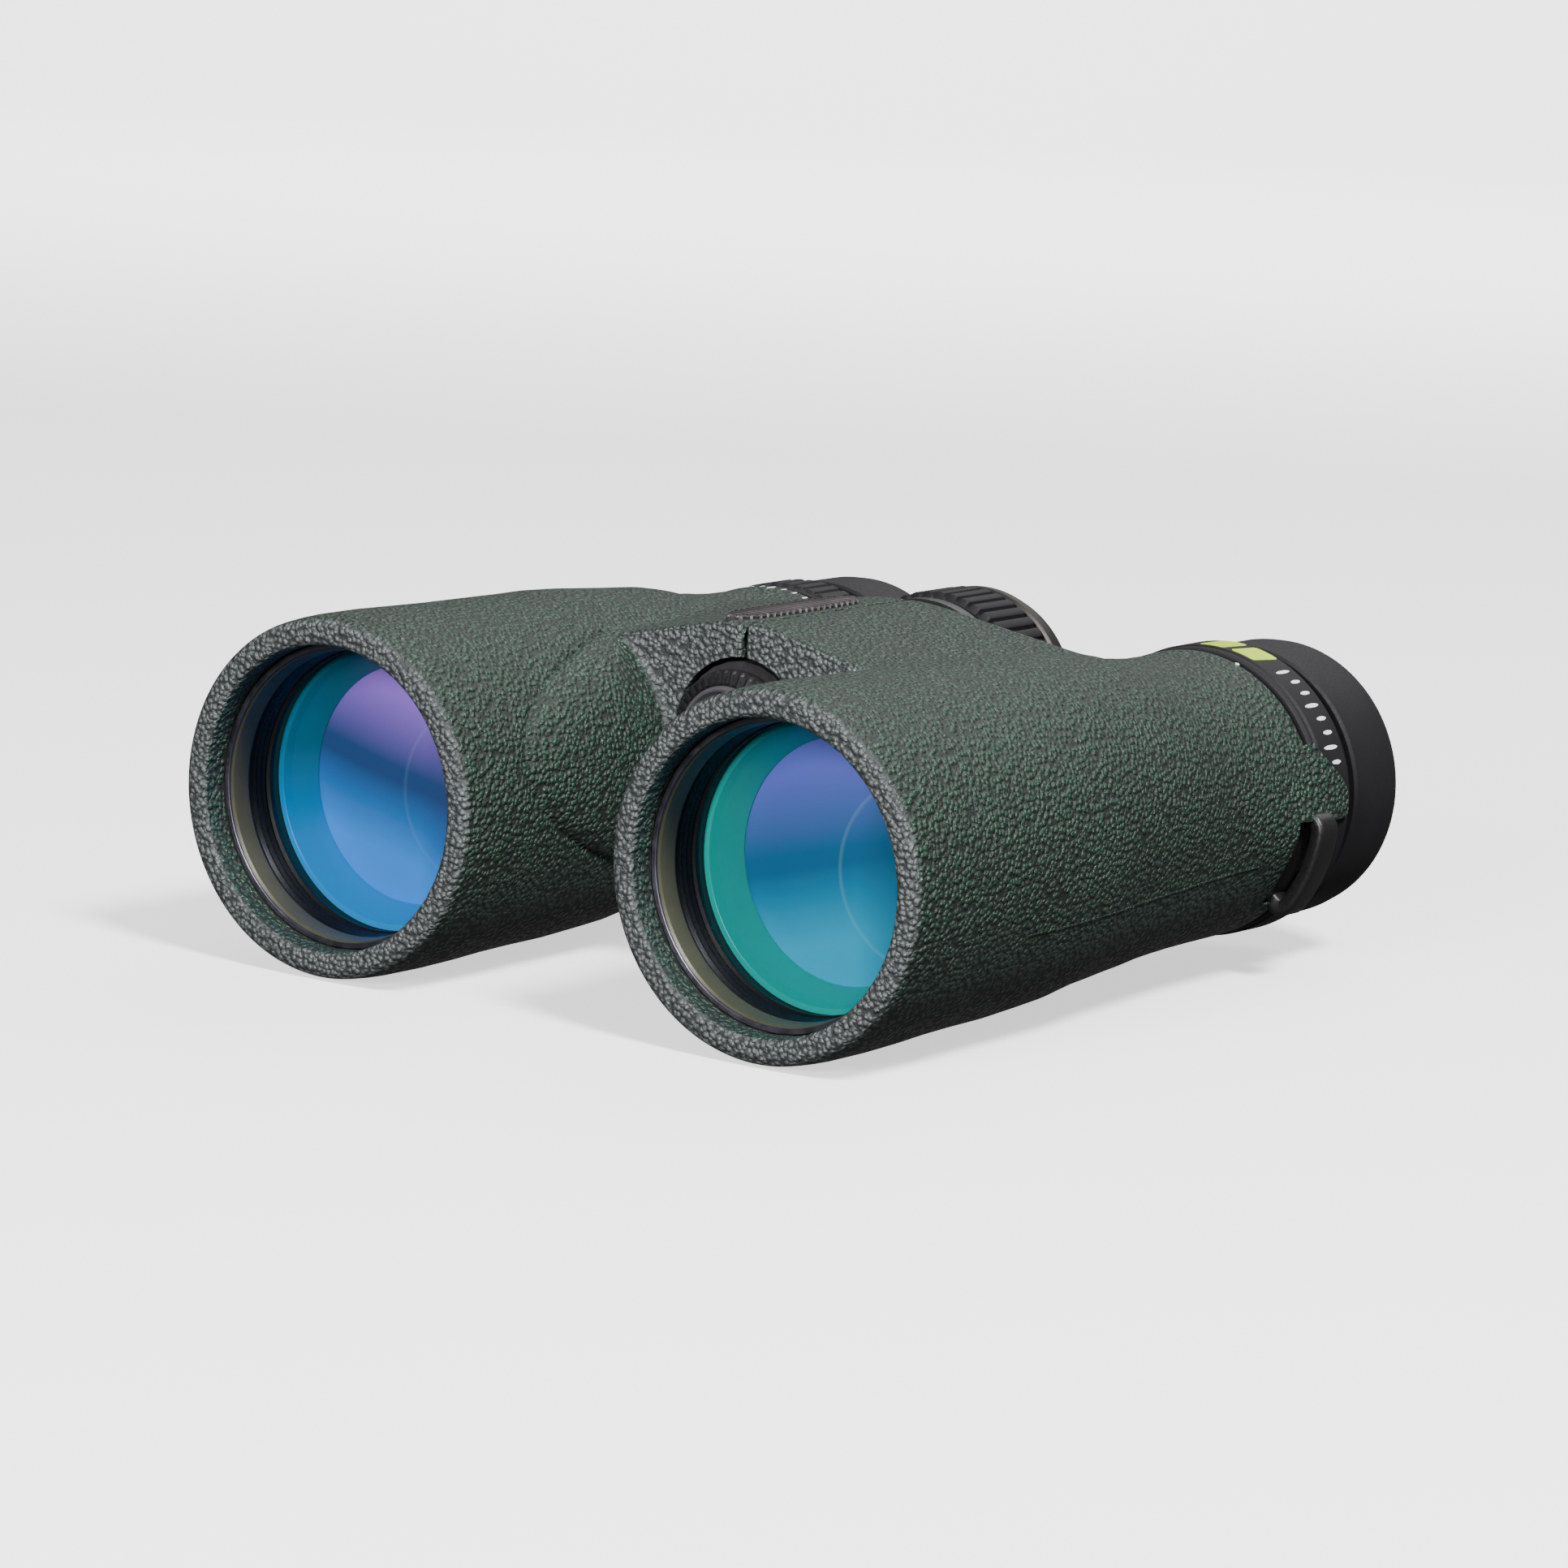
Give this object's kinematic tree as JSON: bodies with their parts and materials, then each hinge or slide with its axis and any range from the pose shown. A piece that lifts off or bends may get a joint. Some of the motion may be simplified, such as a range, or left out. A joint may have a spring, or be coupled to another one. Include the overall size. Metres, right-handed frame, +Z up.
{
  "type": "handheld binoculars",
  "caption": "Handheld roof-prism binoculars: rubber-armoured barrels on a folding bridge, central focus wheel, twist-up eyecups, dioptre ring and capped tripod socket.",
  "frame": {"origin": "on the ground plane under the barrels, on the plane through the bridge hinge, half way along the length", "axes": "+Y from the objectives to the eyepieces, +X towards the user's left barrel when the objectives face -Y and the user looks along -Y, +Z up through the bridge"},
  "size_m": [0.1298, 0.1358, 0.0532],
  "materials": {
    "armour_rubber": "pebbled dark green, satin",
    "cast_housing": "cast, dark coat, satin",
    "olive_anodised": "olive anodised",
    "black_anodised": "black anodised, matte",
    "black_plastic": "fine matte",
    "charcoal_rubber": "soft matte",
    "steel": "turned",
    "grey_anodised": "warm grey anodised",
    "coated_glass": "polished, multi-coated"
  },
  "bodies": {
    "right_barrel": {"right_armour": "armour_rubber", "right_barrel_housing": "cast_housing", "right_retaining_ring": "olive_anodised", "right_objective_cell": "black_anodised", "right_objective_front_lens": "coated_glass", "right_objective_rear_lens": "coated_glass", "right_light_baffle": "black_anodised", "right_prism_holder": "cast_housing", "right_half_penta_prism": "coated_glass", "right_roof_prism": "coated_glass", "right_eyecup_guide": "black_anodised", "right_strap_lug": "black_plastic", "bridge_inlay": "charcoal_rubber", "hinge_axle": "steel", "hinge_nut": "steel", "hinge_friction_washer": "olive_anodised", "tripod_bush": "steel"},
    "left_barrel": {"left_armour": "armour_rubber", "left_barrel_housing": "cast_housing", "left_retaining_ring": "olive_anodised", "left_objective_cell": "black_anodised", "left_objective_front_lens": "coated_glass", "left_objective_rear_lens": "coated_glass", "left_light_baffle": "black_anodised", "left_prism_holder": "cast_housing", "left_half_penta_prism": "coated_glass", "left_roof_prism": "coated_glass", "left_eyecup_guide": "black_anodised", "left_strap_lug": "black_plastic", "left_eyepiece_tube": "black_anodised", "left_field_lens": "coated_glass", "left_eye_lens": "coated_glass", "left_collar_ring": "black_plastic"},
    "focus_wheel": {"focus_wheel_core": "black_plastic", "focus_wheel_grip": "charcoal_rubber", "focus_wheel_trim": "grey_anodised", "focus_spindle": "steel"},
    "focus_spool": {"focus_spool": "steel"},
    "right_focus_group": {"right_focus_cell": "cast_housing", "right_focus_lens": "coated_glass"},
    "left_focus_group": {"left_focus_cell": "cast_housing", "left_focus_lens": "coated_glass"},
    "dioptre_ring": {"dioptre_ring": "black_plastic"},
    "right_eyepiece_group": {"right_eyepiece_tube": "black_anodised", "right_field_lens": "coated_glass", "right_eye_lens": "coated_glass"},
    "right_eyecup_slider": {"right_eyecup_slider": "black_plastic"},
    "right_eyecup": {"right_eyecup": "charcoal_rubber"},
    "left_eyecup_slider": {"left_eyecup_slider": "black_plastic"},
    "left_eyecup": {"left_eyecup": "charcoal_rubber"},
    "cap_washer": {"tripod_cap_washer": "charcoal_rubber"},
    "tripod_cap": {"tripod_cap": "black_plastic"}
  },
  "joints": [
    {"name": "hinge_fold", "type": "hinge", "parent": "right_barrel", "child": "left_barrel", "pos_m": [0, 0, 0.0361], "axis": [0, 1, 0], "range_deg": [0, 58]},
    {"name": "focus_turn", "type": "hinge", "parent": "right_barrel", "child": "focus_wheel", "pos_m": [0, 0, 0.0361], "axis": [0, 1, 0], "range_deg": [-180.01, 270.01]},
    {"name": "focus_spool_slide", "type": "slide", "parent": "right_barrel", "child": "focus_spool", "axis": [0, 1, 0], "range_m": [-0.0016, 0.0024]},
    {"name": "right_focus_slide", "type": "slide", "parent": "right_barrel", "child": "right_focus_group", "axis": [0, 1, 0], "range_m": [-0.0016, 0.0024]},
    {"name": "left_focus_slide", "type": "slide", "parent": "left_barrel", "child": "left_focus_group", "axis": [0, 1, 0], "range_m": [-0.0016, 0.0024]},
    {"name": "dioptre_turn", "type": "hinge", "parent": "right_barrel", "child": "dioptre_ring", "pos_m": [-0.0386, 0, 0.0263], "axis": [0, 1, 0], "range_deg": [-50.01, 50.01]},
    {"name": "dioptre_slide", "type": "slide", "parent": "right_barrel", "child": "right_eyepiece_group", "axis": [0, 1, 0], "range_m": [-0.0008, 0.0008]},
    {"name": "right_eyecup_rise", "type": "slide", "parent": "right_barrel", "child": "right_eyecup_slider", "axis": [0, 1, 0], "range_m": [0, 0.008]},
    {"name": "right_eyecup_twist", "type": "hinge", "parent": "right_eyecup_slider", "child": "right_eyecup", "pos_m": [-0.0386, 0, 0.0263], "axis": [0, 1, 0], "range_deg": [0, 120.01]},
    {"name": "left_eyecup_rise", "type": "slide", "parent": "left_barrel", "child": "left_eyecup_slider", "axis": [0, 1, 0], "range_m": [0, 0.008]},
    {"name": "left_eyecup_twist", "type": "hinge", "parent": "left_eyecup_slider", "child": "left_eyecup", "pos_m": [0.0386, 0, 0.0263], "axis": [0, 1, 0], "range_deg": [0, 120.01]},
    {"name": "cap_unscrew_slide", "type": "slide", "parent": "right_barrel", "child": "cap_washer", "axis": [0, -1, 0], "range_m": [0, 0.00508]},
    {"name": "cap_unscrew_turn", "type": "hinge", "parent": "cap_washer", "child": "tripod_cap", "pos_m": [0, 0, 0.0361], "axis": [0, -1, 0], "range_deg": [0, 1440.1]}
  ],
  "couplings": [
    {"joint": "focus_turn", "follows": "focus_spool_slide", "rad_per_m": 1963.5},
    {"joint": "right_focus_slide", "follows": "focus_spool_slide", "ratio": 1},
    {"joint": "left_focus_slide", "follows": "focus_spool_slide", "ratio": 1},
    {"joint": "dioptre_turn", "follows": "dioptre_slide", "rad_per_m": 1090.8},
    {"joint": "right_eyecup_twist", "follows": "right_eyecup_rise", "rad_per_m": 261.8},
    {"joint": "left_eyecup_twist", "follows": "left_eyecup_rise", "rad_per_m": 261.8},
    {"joint": "cap_unscrew_turn", "follows": "cap_unscrew_slide", "rad_per_m": 4947.4}
  ]
}
